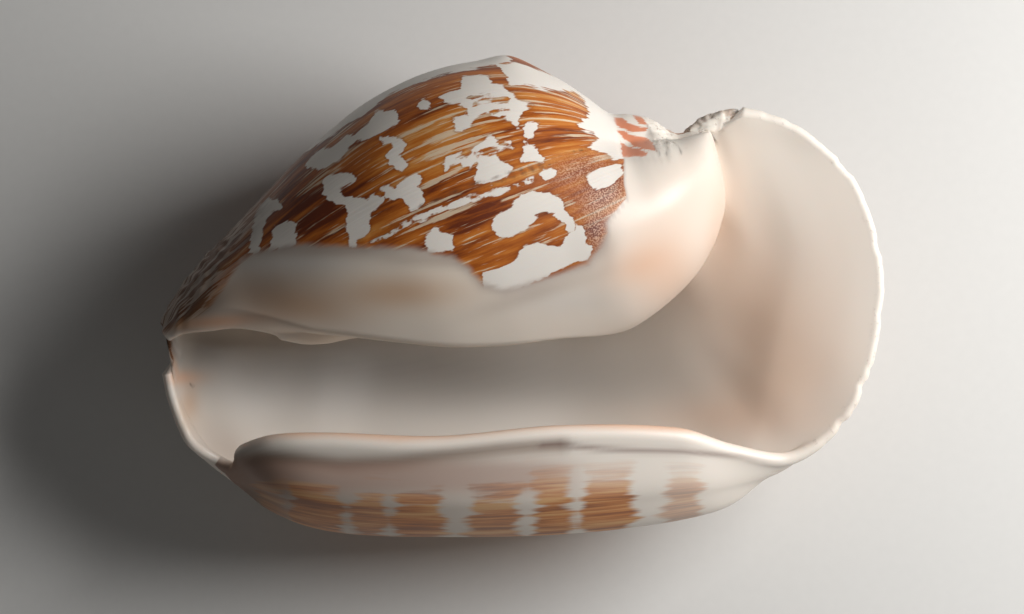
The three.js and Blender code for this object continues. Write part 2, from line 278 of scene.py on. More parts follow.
def ripple(u, v, seed, wavelength, waves=9):
    """Smooth irregular waves, about -1 to 1, from seeded sines in all directions."""
    rng = np.random.default_rng(seed)
    total = np.zeros(np.broadcast(u, v).shape)
    for _ in range(waves):
        angle = rng.uniform(0, 2 * math.pi)
        k = 2 * math.pi / (wavelength * rng.uniform(0.7, 1.5))
        total += np.sin(k * (u * math.cos(angle) + v * math.sin(angle)) + rng.uniform(0, 2 * math.pi))
    return total / math.sqrt(waves)


# Chips of the lip's margin: station, half width in stations, share of a row broken away.
CHIPS = [
    (9.45, 0.05, 0.07), (9.9, 0.09, 0.1), (10.05, 0.04, 0.05), (10.6, 0.05, 0.03), (11.1, 0.07, 0.04),
    (11.72, 0.1, 0.07), (11.9, 0.05, 0.05), (12.35, 0.06, 0.06), (12.62, 0.08, 0.05), (1.6, 0.15, 0.05),
    (2.3, 0.1, 0.06), (0.9, 0.08, 0.05),
]
# Waves of the margin: height in rows, seed, wavelength in millimetres.
MARGIN_WAVES = [(0.012, 3, 4), (0.010, 4, 1.4)]
MM_PER_STATION = 14
MARGIN_LOSS = 0.02


def last_row(s):
    """Where the sheet ends: the margin of the wing and of the canal is chipped, and the roll's is whole."""
    ragged = sum(height * ripple(s * MM_PER_STATION, 0, *wave) for height, *wave in MARGIN_WAVES)
    free = 1 - smoothstep(s, 3.2, 3.7) * (1 - smoothstep(s, 8.6, 9.4))
    lost = sum(depth * smoothstep(np.abs(s - at), half, 0.6 * half) for at, half, depth in CHIPS)
    return LAST_ROW - free * (MARGIN_LOSS + np.maximum(ragged, -MARGIN_LOSS) + lost)


def face_points(rows, s):
    """Rows stretched to the chipped margin, their points on the outer face, and the sheet's frame."""
    end = last_row(s)
    rows = np.where(rows > 5, 5 + (rows - 5) * (end - 5), rows)
    return rows, sheet_point(rows, s), *sheet_frame(rows, s)


def make_sheet():
    """The sheet's points, one closed loop a station, and what each point knows of the growth."""
    stations = np.linspace(0, LAST_STATION, STATION_STEPS + 1)
    rows, s = np.meshgrid(make_rows(OUTER_ROWS), stations, indexing="ij")
    rows, outer, normal, growth = face_points(rows, s)
    wall = wall_at(rows, s)[..., None]
    angle = (math.pi * np.arange(1, EDGE_ARC + 1) / (EDGE_ARC + 1))[:, None, None]

    def rounded(end, away):
        half = wall[end] / 2
        return outer[end] + normal[end] * half * (np.cos(angle) - 1) + away * half * np.sin(angle)

    rim = rounded(-1, growth[-1])
    curl = rounded(0, -growth[0])[::-1]
    inner_rows, inner_s = np.meshgrid(make_rows(INNER_ROWS), stations, indexing="ij")
    inner_rows, inner, inner_normal, _ = face_points(inner_rows, inner_s)
    inner = inner - inner_normal * wall_at(inner_rows, inner_s)[..., None]
    points = np.concatenate([outer, rim, inner[::-1], curl])
    arc_out = (1 + np.cos(angle[:, :, 0])) / 2
    facts = {
        "row": [rows, np.repeat(rows[-1:], EDGE_ARC, 0), inner_rows[::-1], np.zeros(curl.shape[:2])],
        "station": [s, s[:EDGE_ARC], inner_s, s[:EDGE_ARC]],
        "outside": [
            np.ones_like(rows),
            np.broadcast_to(arc_out, rim.shape[:2]),
            np.zeros_like(inner_rows),
            np.broadcast_to(arc_out[::-1], curl.shape[:2]),
        ],
    }
    return points, {name: np.concatenate(parts) for name, parts in facts.items()}


def grid_mesh(name, points):
    """A closed mesh from points[around, along], with its two end loops filled by ladders."""
    around, along = points.shape[:2]
    index = np.arange(around * along).reshape(around, along)
    following = np.roll(index, -1, 0)
    quads = np.stack([index[:, :-1], index[:, 1:], following[:, 1:], following[:, :-1]], -1)
    faces = quads.reshape(-1, 4).tolist()
    for end, flip in ((0, False), (along - 1, True)):
        for i in range((around - 1) // 2):
            k = around - 1 - i
            corners = [index[i, end], index[i + 1, end], index[k - 1, end], index[k, end]]
            if i + 1 == k - 1:
                corners.pop(2)
            faces.append([int(c) for c in (corners[::-1] if flip else corners)])
    mesh = bpy.data.meshes.new(name)
    mesh.from_pydata(points.reshape(-1, 3).tolist(), [], faces)
    return mesh


def ringed_mesh(name, rings, first, last):
    """A closed mesh from rings of points between two end points."""
    sides = len(rings[0])
    points = [first, *(p for ring in rings for p in ring), last]
    end = len(points) - 1
    faces = []
    for k in range(sides):
        following = (k + 1) % sides
        faces.append((0, 1 + following, 1 + k))
        for ring in range(len(rings) - 1):
            a = 1 + ring * sides
            faces.append((a + k, a + following, a + sides + following, a + sides + k))
        a = 1 + (len(rings) - 1) * sides
        faces.append((a + k, a + following, end))
    mesh = bpy.data.meshes.new(name)
    mesh.from_pydata(np.array(points).tolist(), [], faces)
    return mesh


AXIS = np.array([math.cos(AXIS_TILT), math.sin(AXIS_TILT), 0])
ASIDE = np.array([-math.sin(AXIS_TILT), math.cos(AXIS_TILT), 0])
UP = np.array([0, 0, 1.0])

# Position along the axis and radius of the solid pillar behind the spire.
PILLAR = [
    (90, 0), (96, 6), (104, 10), (114, 12), (121, 11.6), (128, 9.6), (130.6, 7), (133.2, 1.8),
    (139, 1.4), (140.4, 0),
]
PILLAR_SIDES = 40


def make_pillar():
    """The solid pillar behind the spire, which fills the narrow back end."""
    rings = []
    for at, radius in PILLAR[1:-1]:
        angles = 2 * math.pi * np.arange(PILLAR_SIDES) / PILLAR_SIDES
        rings.append([AXIS * at + radius * (ASIDE * math.cos(a) + UP * math.sin(a)) for a in angles])
    return ringed_mesh("pillar", rings, AXIS * PILLAR[0][0], AXIS * PILLAR[-1][0])


# The broken knot of enamel between the lip's corner and the spire.
KNOT_CENTRE = np.array([131.9, 55.0, -0.6])
KNOT_RADII = np.array([7.6, 2.7, 2.6])
KNOT_TILT = math.radians(23)
KNOT_RINGS = 56
KNOT_SIDES = 44


def make_knot():
    """A lumpy oval, long towards the wing."""
    along = np.array([math.cos(KNOT_TILT), math.sin(KNOT_TILT), 0])
    across = np.array([-math.sin(KNOT_TILT), math.cos(KNOT_TILT), 0])

    def point(polar, around):
        u = -math.cos(polar)
        v = math.sin(polar) * math.cos(around)
        w = math.sin(polar) * math.sin(around)
        swell = 0.07 * ripple(9 * u + 3 * w, 6 * v, 11, 5) + 0.05 * ripple(9 * u, 6 * v + 4 * w, 12, 2)
        size = KNOT_RADII * (1 + float(swell))
        return KNOT_CENTRE + along * u * size[0] + across * v * size[1] + UP * w * size[2]

    rings = [
        [point(math.pi * i / KNOT_RINGS, 2 * math.pi * k / KNOT_SIDES) for k in range(KNOT_SIDES)]
        for i in range(1, KNOT_RINGS)
    ]
    return ringed_mesh("knot", rings, point(0, 0), point(math.pi, 0))


def placed(name, data):
    """A new object in the scene."""
    o = bpy.data.objects.new(name, data)
    bpy.context.scene.collection.objects.link(o)
    return o


def union(mesh, *others):
    """Exact union of closed meshes, as a new mesh."""
    main = placed("main", mesh)
    tools = [placed("tool", other) for other in others]
    for tool in tools:
        join = main.modifiers.new("join", "BOOLEAN")
        join.operation = "UNION"
        join.solver = "MANIFOLD"
        join.object = tool
    depsgraph = bpy.context.evaluated_depsgraph_get()
    joined = bpy.data.meshes.new_from_object(main.evaluated_get(depsgraph))
    for o in (main, *tools):
        bpy.data.objects.remove(o)
    return joined


def vertex_array(mesh, key):
    values = np.empty(len(mesh.vertices) * 3)
    mesh.vertices.foreach_get(key, values)
    return values.reshape(-1, 3)


def nearest_index(points, targets):
    tree = kdtree.KDTree(len(points))
    for i, point in enumerate(points):
        tree.insert(point, i)
    tree.balance()
    return np.array([tree.find(target)[1] for target in targets])


def rest_frame(points):
    """From the drawing frame in millimetres to the frame of the CAD part in metres."""
    cos, sin = math.cos(LYING_ROLL), math.sin(LYING_ROLL)
    x, y, z = points.T
    moved = np.stack([x, y * cos - z * sin, y * sin + z * cos], -1) + PACKED_SHIFT
    moved[:, 2] = np.maximum(moved[:, 2], 0)
    return moved * MM


# Markings are placed in the picture's own units, x to the right and y down.
PICTURE_UNIT = 0.242
PICTURE_ORIGIN = (168, 352)


def in_picture(points):
    return np.array(PICTURE_ORIGIN) + points[:, :2] * (1, -1) / PICTURE_UNIT


def line_distance(place, line):
    """Distance from each place to a line of straight pieces."""
    nearest = np.full(len(place), 1e9)
    for a, b in zip(np.array(line[:-1], float), np.array(line[1:], float)):
        run = b - a
        along = np.clip((place - a) @ run / (run @ run), 0, 1)
        nearest = np.minimum(nearest, np.linalg.norm(place - a - along[:, None] * run, axis=1))
    return nearest


def outline_distance(place, outline):
    """Distance to a closed outline, negative inside it."""
    closed = [*outline, outline[0]]
    inside = np.zeros(len(place), bool)
    x, y = place.T
    for (x0, y0), (x1, y1) in zip(closed, closed[1:]):
        if y0 != y1:
            inside ^= ((y0 > y) != (y1 > y)) & (x < x0 + (y - y0) * (x1 - x0) / (y1 - y0))
    away = line_distance(place, closed)
    return np.where(inside, -away, away)


def spot(place, centre, reach, tilt=0):
    """A soft oval, 1 at its centre."""
    cos, sin = math.cos(math.radians(tilt)), math.sin(math.radians(tilt))
    x, y = (place - np.array(centre)).T
    return np.exp(-(((x * cos + y * sin) / reach[0]) ** 2) - ((-x * sin + y * cos) / reach[1]) ** 2)


# Lower limit of the painted field, closed round the top beyond the shell.
PAINTED = [
    (150, 345), (172, 325), (195, 316), (210, 308), (228, 282), (243, 260), (258, 252), (272, 249),
    (300, 244), (330, 246), (380, 248), (407, 248), (430, 252), (455, 258), (470, 268), (484, 284),
    (505, 289), (525, 284), (550, 276), (568, 270), (585, 263), (594, 252), (603, 235), (602, 222),
    (614, 212), (624, 200), (621, 185), (622, 158), (628, 140), (622, 116), (640, 100), (640, 20),
    (140, 20),
]
# White blotches of the body.
BLOTCHES = [
    [(305, 152), (322, 138), (340, 120), (360, 104), (384, 88), (408, 76), (440, 65), (470, 55), (500, 50),
     (512, 60), (500, 64), (480, 68), (455, 74), (430, 80), (408, 88), (392, 94), (380, 103), (366, 117),
     (350, 123), (335, 134), (318, 146)],
    [(497, 66), (515, 64), (540, 72), (565, 80), (590, 90), (610, 106), (624, 112), (634, 124), (628, 160),
     (612, 160), (602, 156), (586, 150), (600, 143), (592, 134), (583, 133), (576, 127), (590, 116),
     (584, 101), (574, 93), (537, 91), (524, 86), (511, 88), (506, 78)],
    [(462, 79), (488, 79), (492, 86), (504, 89), (517, 102), (534, 108), (524, 112), (519, 121), (517, 131),
     (511, 125), (501, 121), (491, 118), (485, 117), (474, 121), (466, 113), (462, 107), (444, 105),
     (441, 99), (449, 95), (459, 95), (462, 92)],
    [(480, 160), (495, 159), (505, 167), (516, 173), (506, 180), (490, 185), (474, 187), (477, 173)],
    [(491, 229), (496, 217), (511, 209), (521, 199), (534, 195), (547, 195), (558, 201), (562, 208),
     (566, 217), (573, 224), (571, 234), (566, 235), (565, 225), (555, 217), (544, 214), (535, 217),
     (532, 224), (526, 230), (511, 237), (500, 238)],
    [(483, 274), (498, 271), (513, 264), (518, 255), (524, 247), (537, 243), (545, 247), (560, 250),
     (563, 238), (570, 235), (579, 227), (583, 234), (584, 245), (592, 247), (584, 260), (566, 268),
     (550, 276), (524, 287), (504, 294), (485, 292)],
    [(584, 180), (596, 172), (615, 165), (622, 175), (614, 184), (604, 190), (591, 191)],
    [(428, 238), (436, 230), (454, 238), (454, 251), (441, 255), (427, 250)],
    [(524, 149), (537, 149), (542, 165), (521, 165)],
    [(526, 126), (537, 125), (532, 141), (524, 143)],
    [(377, 112), (399, 115), (399, 124), (390, 132), (380, 136), (371, 140), (362, 142), (354, 145),
     (345, 157), (340, 163), (326, 170), (309, 170), (307, 164), (317, 154), (329, 149), (337, 147),
     (348, 138), (359, 135), (371, 125)],
    [(380, 140), (390, 139), (404, 143), (407, 152), (401, 156), (407, 163), (409, 168), (403, 175),
     (396, 171), (392, 164), (387, 157), (396, 149), (393, 146), (385, 149)],
    [(327, 178), (340, 175), (354, 175), (357, 181), (348, 187), (341, 194), (348, 199), (371, 201),
     (373, 197), (381, 197), (387, 204), (380, 211), (372, 216), (372, 227), (369, 236), (361, 242),
     (359, 248), (351, 248), (350, 227), (350, 212), (347, 206), (336, 204), (326, 197), (326, 187)],
    [(402, 187), (409, 180), (418, 175), (423, 180), (424, 185), (418, 188), (425, 195), (425, 204),
     (417, 212), (410, 209), (407, 201), (402, 197), (396, 201), (387, 199), (383, 191), (390, 188),
     (397, 191)],
    [(253, 241), (256, 220), (261, 206), (270, 199), (278, 201), (284, 209), (275, 212), (268, 220),
     (264, 232), (262, 252), (252, 254)],
    [(277, 226), (292, 222), (299, 226), (299, 246), (272, 252)],
    [(420, 105), (425, 102), (431, 108), (430, 112), (421, 111)],
    [(485, 143), (493, 139), (498, 146), (511, 143), (513, 151), (498, 152), (488, 151), (470, 159),
     (469, 156), (480, 149)],
    [(444, 169), (448, 162), (462, 157), (475, 162), (474, 169), (469, 172), (462, 165), (452, 169),
     (450, 174), (444, 175)],
    [(372, 244), (400, 229), (425, 215), (450, 205), (475, 198), (505, 190), (532, 180), (536, 183),
     (505, 195), (475, 203), (455, 209), (433, 218), (425, 224), (415, 223), (395, 235), (375, 247)],
    [(454, 121), (467, 118), (474, 123), (466, 130), (482, 133), (462, 136), (456, 133)],
    [(540, 176), (552, 172), (556, 178), (545, 184)],
]
# Brown islands inside the white, each a short stroke: ends and half width.
ISLANDS = [
    ((469, 100), (490, 97), 1.6), ((474, 106), (506, 103), 3.0), ((494, 115), (512, 112), 1.8),
    ((490, 128), (503, 122), 3.0), ((376, 161), (392, 148), 2.2), ((358, 142), (361, 141), 1.8),
    ((468, 167), (458, 169), 1.6), ((524, 285), (560, 272), 1.0), ((560, 272), (592, 256), 1.2),
    ((400, 158), (402, 157), 1.2), ((388, 200), (389, 201), 1.0),
]
# Old growth line across the body, where the shell once stopped growing.
OLD_LIP = [(372, 243), (400, 225), (430, 205), (472, 189), (510, 178), (545, 167), (583, 153)]
# Pink bands of the spire, and the cracks beside its worn apex.
SPIRE_FIELD = [(612, 108), (642, 108), (666, 118), (664, 160), (620, 160)]
SPIRE_BANDS = [
    [(612, 118), (622, 118), (628, 124), (640, 128), (646, 128), (646, 132), (632, 133), (620, 129),
     (613, 124)],
    [(632, 115), (641, 117), (647, 126), (638, 124)],
    [(613, 128), (622, 132), (632, 137), (645, 138), (651, 144), (655, 153), (645, 151), (632, 148),
     (624, 140)],
    [(619, 142), (628, 148), (640, 152), (648, 156), (640, 159), (621, 159)],
]
CRACKS = [
    [(653, 147), (658, 157)], [(666, 148), (664, 156)], [(673, 145), (679, 153), (678, 156)],
    [(649, 128), (653, 142)], [(189, 384), (192, 387)],
]
# The lip: crest of its inner side, shallow groove of its outer side, and the enamel's dark edge there.
LIP_CREST = [
    (232, 470), (238, 455), (255, 440), (280, 432), (330, 430), (400, 435), (450, 432), (520, 424),
    (570, 421), (640, 424), (700, 427), (740, 432),
]
LIP_GROOVE = [
    (236, 462), (260, 455), (296, 459), (342, 465), (392, 462), (440, 455), (500, 448), (560, 444),
]
ENAMEL_EDGE = [
    (540, 444), (560, 443), (600, 447), (640, 449), (680, 450), (710, 453), (740, 456), (778, 463),
]
# Brown patches on the outside of the lip: from x, to x, top, strength. Those past 720 are out of sight.
LIP_PATCHES = [
    (256, 286, 478, 0.5), (294, 342, 484, 0.9), (355, 386, 484, 0.85), (396, 442, 485, 0.95),
    (470, 520, 484, 0.9), (533, 569, 468, 1.0), (584, 627, 467, 1.0), (669, 698, 466, 0.55),
    (775, 812, 470, 0.5), (850, 905, 470, 0.6), (940, 985, 470, 0.6), (1010, 1040, 470, 0.5),
]


def srgb(red, green, blue):
    """A colour given in screen values of 0 to 255, as linear light."""
    values = np.array([red, green, blue]) / 255
    return np.where(values <= 0.04045, values / 12.92, ((values + 0.055) / 1.055) ** 2.4)


# Colours of the enamel, some of which also stand for painted shade: deep in the mouth, in grooves, on the
# canal's floor, on the brightly lit pad and on the left of the lip.
ENAMEL = srgb(238, 228, 216)
CREAM = srgb(234, 217, 196)
PEACH = srgb(226, 172, 134)
TAN = srgb(196, 148, 104)
COOL = srgb(205, 201, 196)
GLAZE_AND_SHADE = srgb(150, 128, 112)
MAUVE = srgb(176, 140, 124)
UMBER = srgb(116, 82, 56)
SHADE = srgb(184, 170, 158)
DEEP_SHADE = srgb(138, 132, 126)
BUFF = srgb(236, 184, 142)
PEARL_SHADE = srgb(212, 196, 180)
EDGE_BROWN = srgb(128, 100, 92)
VEILED = srgb(132, 112, 108)

# Colours of the markings, the worn places and the table.
STREAK_BROWNS = [
    (0.32, srgb(106, 42, 8)), (0.44, srgb(160, 80, 14)), (0.56, srgb(190, 106, 30)),
    (0.68, srgb(208, 136, 62)), (0.8, srgb(226, 188, 140)),
]
LIP_BROWNS = [(0.36, srgb(146, 78, 26)), (0.5, srgb(200, 122, 52)), (0.62, srgb(222, 168, 106))]
PALE_LINE = srgb(226, 206, 176)
SANDS = (srgb(112, 74, 72), srgb(214, 178, 158))
BLOTCH_RIM = srgb(118, 56, 18)
BLOTCH_WHITES = (srgb(232, 224, 214), srgb(240, 232, 222))
OLD_LIP_BROWN = srgb(96, 60, 40)
SPIRE_COLOURS = (srgb(236, 226, 214), srgb(216, 138, 104))
TIP_COLOURS = (srgb(92, 62, 42), srgb(176, 164, 152))
CRACK_BROWN = srgb(70, 52, 44)
CHALKS = (srgb(226, 218, 206), srgb(150, 132, 120))
TABLE_GREYS = (srgb(214, 212, 208), srgb(218, 216, 212))

# Soft tones of the body's enamel, some of them painted shade: colour, centre, reach, tilt, strength.
BODY_TONES = [
    (CREAM, (400, 290), (170, 60), 0, 0.6),
    # Painted shade: the pad and the callus below it dimmed where the light falls brightest.
    (PEARL_SHADE, (694, 192), (46, 60), 0, 0.7),
    (PEARL_SHADE, (560, 300), (110, 34), -12, 0.5),
    (TAN, (400, 293), (62, 17), 0, 0.62),
    (TAN, (300, 305), (60, 20), 8, 0.62),
    # Dark tan of the callus, made darker on its left by painted shade.
    (UMBER, (262, 288), (70, 34), -14, 0.55),
    (UMBER, (205, 306), (26, 12), -30, 0.55),
    (COOL, (300, 262), (70, 12), 0, 0.5),
    (COOL, (560, 300), (60, 16), 0, 0.35),
    (PEACH, (640, 264), (36, 20), -20, 0.52),
    (PEACH, (652, 236), (40, 40), 0, 0.28),
    (PEACH, (668, 282), (40, 26), -35, 0.4),
    (PEACH, (715, 230), (12, 60), 8, 0.3),
    (GLAZE_AND_SHADE, (604, 246), (12, 22), 0, 0.4),
    (GLAZE_AND_SHADE, (540, 292), (60, 8), -18, 0.35),
    (GLAZE_AND_SHADE, (430, 262), (60, 7), 4, 0.4),
    (GLAZE_AND_SHADE, (330, 252), (60, 7), 0, 0.45),
    (PEACH, (215, 322), (50, 7), -4, 0.75),
    (TAN, (180, 322), (14, 10), 0, 0.7),
]
# Soft tones inside the mouth and on the wing, with painted shade deep in the mouth, in the groove beside
# the pad and on the canal's floor.
MOUTH_TONES = [
    # Painted shade: the mouth greyer and darker where it goes deep.
    (COOL, (400, 390), (260, 60), 0, 0.8),
    (DEEP_SHADE, (370, 368), (210, 30), 0, 0.75),
    (DEEP_SHADE, (205, 350), (30, 22), 0, 0.6),
    (DEEP_SHADE, (470, 388), (170, 26), 0, 0.45),
    (BUFF, (778, 335), (56, 92), -12, 0.36),
    (BUFF, (765, 394), (78, 34), -20, 0.24),
    (BUFF, (735, 290), (60, 80), 0, 0.16),
    # Painted shade in the lower groove between the pad and the wing.
    (TAN, (731, 215), (20, 70), 4, 0.22),
    (PEACH, (730, 420), (100, 20), 0, 0.24),
    # Painted shade in the upper groove between the pad and the wing.
    (SHADE, (722, 142), (8, 34), -18, 0.55),
    (PEACH, (835, 300), (30, 90), 0, 0.1),
    (TAN, (188, 408), (10, 22), 0, 0.6),
    (PEACH, (178, 378), (22, 8), 0, 0.6),
    (CREAM, (184, 424), (20, 16), 30, 0.4),
    # Painted shade on the canal's floor where it meets the roll.
    (UMBER, (226, 450), (34, 20), 35, 0.4),
    (SHADE, (204, 434), (34, 22), 40, 0.5),
]
# Where the painted part is paler, darker or sandy purple, and where the shell is worn: centre, reach,
# tilt, strength.
PALE_SPOTS = [((450, 150), (52, 34), -22, 1), ((560, 110), (30, 24), 0, 0.6)]
DARK_SPOTS = [((322, 205), (40, 34), 0, 1), ((470, 250), (60, 26), 0, 0.5), ((560, 250), (40, 20), 0, 0.3)]
PURPLE_SPOTS = [
    ((604, 196), (28, 20), -30, 1), ((594, 234), (11, 17), 0, 1), ((575, 172), (26, 12), -20, 0.7),
]
WORN_APEX = [((662, 136), (11, 15), 0, 1), ((670, 148), (9, 9), 0, 1)]
WORN_KNOT = [((705, 122), (22, 11), -23, 1.6)]
# The knot's wear stays above this y of the picture.
KNOT_LOWEST = 134


def covered(tone, colour, share):
    return tone + (colour - tone) * np.clip(share, 0, 1)[:, None]


def spots(place, table):
    return sum(power * spot(place, centre, reach, tilt) for centre, reach, tilt, power in table)


def near_line(place, line, width):
    """1 on the line, falling softly to both sides."""
    return np.exp(-((line_distance(place, line) / width) ** 2))


# Length in millimetres of a degree of growth, and of a row of the lip beyond turn 90.
MM_PER_DEGREE = 0.61
MM_PER_ROW = 26
# The lip is seen from this row on, and the wing starts at this station.
LIP_START = 4.2
WING_START = 8.9


class Surface:
    """What the markings know of each point: its place in the picture, its growth and its side."""

    def __init__(self, drawn, facts):
        self.row = facts["row"]
        self.station = facts["station"]
        self.outside = facts["outside"]
        self.place = in_picture(drawn)
        self.x, self.y = self.place.T
        body_turn = turn_of_row(np.minimum(self.row, 1), self.station)
        self.turn = np.where(self.row <= 1, body_turn, TURN_PER_ROW * self.row)
        self.at = through(AXIS_STATIONS, self.station)
        past_body = MM_PER_ROW * np.maximum(self.row - 2, 0)
        self.across = MM_PER_DEGREE * np.minimum(self.turn, 2 * TURN_PER_ROW) + past_body
        self.outer = self.outside > 0.5
        self.front = self.outer & (self.row < 1.1) & (self.turn < 20)
        self.body = self.outside * smoothstep(self.row, 2.1, 1.6)


def lip_layers(on):
    """Tones of the lip: colour, strength, where, and between which x of the picture they fade in. The
    groove of its outside and the left of its lower part are painted shade.
    """
    lip = (on.row > LIP_START) & (on.station > 3.0) & (on.station < WING_START)
    outer_lip = lip * on.outside
    lower = smoothstep(on.y, 446, 462) * outer_lip
    haze = smoothstep(on.y, 452, 468) * smoothstep(on.y, 500, 480) * outer_lip
    return [
        (PEACH, 0.62, near_line(on.place, LIP_CREST, 5.5) * lip, (235, 300)),
        # Painted shade in the groove of the roll's outside.
        (GLAZE_AND_SHADE, 0.75, near_line(on.place, LIP_GROOVE, 8) * outer_lip, (0, 1)),
        # The roll's lower part: its own grey, with painted shade that darkens it towards the left.
        (GLAZE_AND_SHADE, 0.5, lower, (640, 330)),
        # Painted shade on the left of the roll's lower part.
        (UMBER, 0.75, lower, (340, 250)),
        (MAUVE, 0.55, haze, (600, 540)),
        (EDGE_BROWN, 0.62, near_line(on.place, ENAMEL_EDGE, 3.0) * lip, (800, 700)),
    ]


def enamel_tone(on):
    """Soft colour of the enamel on the body, in the mouth and on the lip, with painted shade in places."""
    tone = np.tile(ENAMEL, (len(on.place), 1))
    for tones, share in ((BODY_TONES, on.body * on.front), (MOUTH_TONES, 1 - on.outside)):
        for colour, centre, reach, tilt, power in tones:
            tone = covered(tone, colour, power * share * spot(on.place, centre, reach, tilt))
    for colour, power, where, fade in lip_layers(on):
        tone = covered(tone, colour, power * where * smoothstep(on.x, *fade))
    return tone


# Depth in millimetres inside the painted part where its outline isn't seen: bare enamel, the least from
# turn -25 on, and the back.
BARE, LEAST_PAINT, PAINTED_BACK = -6.0, 6.0, 12.0


def painted_depth(on):
    """Depth in millimetres inside the painted part of the body, negative outside it."""
    seen = -outline_distance(on.place, PAINTED) * PICTURE_UNIT
    depth = np.where(on.front, seen, mix(BARE, PAINTED_BACK, on.body))
    upper = on.outer & (on.turn >= -25) & (on.row <= 2)
    depth = np.where(upper, np.maximum(depth, LEAST_PAINT), depth)
    canal_end = (on.row > 0.9) & (on.station < 0.7)
    depth = np.where(canal_end, BARE, depth)
    return depth * (1 + 3 * smoothstep(on.x, 604, 622) * on.front)


def blotch_distance(on):
    """Distance in millimetres outside the white blotches. Those out of sight are irregular."""
    distance = np.min([outline_distance(on.place, outline) for outline in BLOTCHES], 0)
    for start, end, half_width in ISLANDS:
        distance = np.maximum(distance, half_width - line_distance(on.place, [start, end]))
    unseen = 3.2 * (0.55 - ripple(on.across, on.at * 0.8, 21, 17))
    return np.where(on.front & (on.turn < 2), distance * PICTURE_UNIT, unseen)


# A depth that is less than any.
FAR_OUTSIDE = -40.0


def patch_depth(x, y):
    """Depth in picture units inside a brown patch of the lip, and the strength of the nearest."""
    depth = np.full(len(x), FAR_OUTSIDE)
    strength = np.zeros(len(x))
    joined = 4 * smoothstep(y, 500, 520)
    for start, end, top, power in LIP_PATCHES:
        inside = np.minimum(np.minimum(x - start, end - x) + joined, 0.6 * (y - top))
        strength = np.where(inside > depth, power, strength)
        depth = np.maximum(depth, inside)
    return depth, strength


# A picture y that is well below the lip, for the parts of it that are out of sight.
BELOW_LIP = 540
# The rolled lip's last station, and the picture units of each station of the wing after it.
ROLL_END = 9.3
WING_SPACING = 62


def patch_facts(on):
    """Depth in millimetres inside the lip's brown patches, and their strength."""
    seen = (on.row > 4.1) & (on.station < 9.0)
    roll_x = PICTURE_ORIGIN[0] + through(ROLL, np.minimum(on.station, ROLL_END), 1) / PICTURE_UNIT
    unseen_x = roll_x + WING_SPACING * np.maximum(on.station - ROLL_END, 0)
    unseen_x += 8 * ripple(on.across, on.at, 31, 22)
    depth, strength = patch_depth(np.where(seen, on.x, unseen_x), np.where(seen, on.y, BELOW_LIP))
    back = on.outside * smoothstep(on.row, 1.6, 2.6) * smoothstep(on.row, 5.9, 5.0)
    return depth * PICTURE_UNIT, strength * back


def spire_band(on):
    """Distance in millimetres outside the bands of the spire."""
    distance = np.min([outline_distance(on.place, outline) for outline in SPIRE_BANDS], 0)
    return np.where(on.front, distance * PICTURE_UNIT, 0.8 * ripple(on.across, on.at, 41, 6))


def worn(on):
    """Share of chalky wear: the apex, the margin of the wing and the broken knot."""
    margin = 0.35 * smoothstep(on.row, 5.8, 5.96) * (on.station > WING_START)
    knot = spots(on.place, WORN_KNOT) * (on.y < KNOT_LOWEST)
    return np.clip(on.front * spots(on.place, WORN_APEX) + margin + knot, 0, 1)


def paint_facts(on):
    """Fields for the material: distances in millimetres, shares from 0 to 1, and soft tones."""
    tone = enamel_tone(on)
    painted = painted_depth(on)
    patch, patch_power = patch_facts(on)
    limit = np.exp(-((painted / 1.6) ** 2)) * smoothstep(on.x, 230, 290)
    return {
        "tone": np.column_stack([tone, np.ones(len(tone))]),
        "growth": np.stack([on.across, on.at, 60 * on.outside], -1),
        "painted": painted,
        "blotch": blotch_distance(on),
        "patch": patch,
        "patch_power": patch_power,
        "pale": spots(on.place, PALE_SPOTS) * (on.front & (on.turn < 10)),
        "dark": spots(on.place, DARK_SPOTS) * on.front,
        "purple": np.clip(spots(on.place, PURPLE_SPOTS), 0, 1) * on.front,
        "limit": limit * on.front,
        "old_lip": near_line(on.place, OLD_LIP, 1.5) * on.front,
        "spire": on.front * smoothstep(outline_distance(on.place, SPIRE_FIELD), 2, -2),
        "band": spire_band(on),
        "crack": np.max([near_line(on.place, line, 0.8) for line in CRACKS], 0),
        "tip": smoothstep(on.x + 0.5 * on.y, 385, 350) * (on.row < 1) * on.outside,
        "worn": worn(on),
    }


def relief(drawn, on):
    """Low relief in millimetres: the lip's groove, the old lip, lumps of the tip, crust of the apex and
    the step at the enamel's edge under the spire."""
    body = on.outer & (on.row < 1.0)
    groove = -0.30 * near_line(on.place, LIP_GROOVE, 7) * (on.outer & (on.row > LIP_START))
    from_old_lip = line_distance(on.place, OLD_LIP)
    old_lip = 0.12 * np.exp(-(((from_old_lip - 5) / 3) ** 2)) - 0.16 * np.exp(-((from_old_lip / 2.2) ** 2))
    along, across = drawn[:, 0], drawn[:, 1] - drawn[:, 2]
    tip = smoothstep(on.x + 0.6 * on.y, 392, 350) * (on.y < 338)
    tip *= 0.36 * ripple(along * 1.3, across, 51, 4.6)
    apex = 0.22 * ripple(along, across, 52, 1.9) * spot(on.place, (660, 132), (12, 16)) * on.outer
    step = 0.22 * smoothstep(outline_distance(on.place, SPIRE_FIELD), 0, 3)
    step *= smoothstep(on.y, 120, 140) * smoothstep(on.x, 560, 610)
    return groove + (old_lip + tip + step) * body + apex


# Type and property of a mesh attribute with so many numbers a point.
ATTRIBUTE_KINDS = {1: ("FLOAT", "value"), 3: ("FLOAT_VECTOR", "vector"), 4: ("FLOAT_COLOR", "color")}


def store_fact(mesh, name, values):
    values = values.astype(np.float32).reshape(len(values), -1)
    kind, key = ATTRIBUTE_KINDS[values.shape[1]]
    mesh.attributes.new(name, kind, "POINT").data.foreach_set(key, values.ravel())


